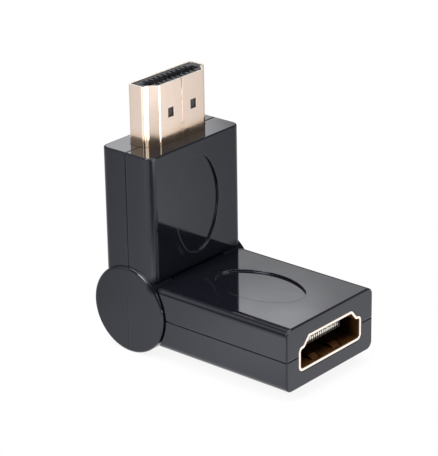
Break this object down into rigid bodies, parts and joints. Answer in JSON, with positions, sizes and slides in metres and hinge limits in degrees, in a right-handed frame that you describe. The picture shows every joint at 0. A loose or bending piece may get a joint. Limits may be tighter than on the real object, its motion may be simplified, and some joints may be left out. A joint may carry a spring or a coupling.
{
  "type": "right angle audio video adapter with a swivel hinge",
  "caption": "Two flat plastic arms joined by a hinge with round side discs: one carries a flat metal plug, the other the matching socket.",
  "frame": {"origin": "under the middle of the adapter folded square, at the level of the lowest line of the hinge discs", "axes": "+X along the socket arm towards its mouth, +Y along the hinge axis, +Z along the plug arm towards the plug's tip"},
  "size_m": [0.0372, 0.0214, 0.0415],
  "materials": {
    "cover_plastic": "polished black moulding",
    "gold_plate": "pale gold plate",
    "contact_gold": "gold plate",
    "inner_plastic": "matte black moulding",
    "board_green": "lacquered circuit board",
    "tin_plate": "tin plate",
    "wire_red": "wire insulation",
    "wire_blue": "wire insulation"
  },
  "bodies": {
    "socket_arm": {"socket_top_cover": "cover_plastic", "socket_bottom_cover": "cover_plastic", "socket_shell": "gold_plate", "socket_tongue": "inner_plastic", "socket_contacts_top": "contact_gold", "socket_contacts_bottom": "contact_gold", "socket_board": "board_green", "socket_screen": "tin_plate", "socket_wires_left": "wire_red", "socket_wires_right": "wire_blue"},
    "plug_arm": {"plug_front_cover": "cover_plastic", "plug_rear_cover": "cover_plastic", "plug_shell": "gold_plate", "plug_insulator": "inner_plastic", "plug_contacts_front": "contact_gold", "plug_contacts_rear": "contact_gold", "plug_board": "board_green", "plug_screen": "tin_plate", "plug_wires_left": "wire_red", "plug_wires_right": "wire_blue"}
  },
  "joints": [
    {"name": "hinge", "type": "hinge", "parent": "socket_arm", "child": "plug_arm", "pos_m": [-0.01167, 0, 0.00695], "axis": [0, -1, 0], "range_deg": [0, 180]}
  ]
}
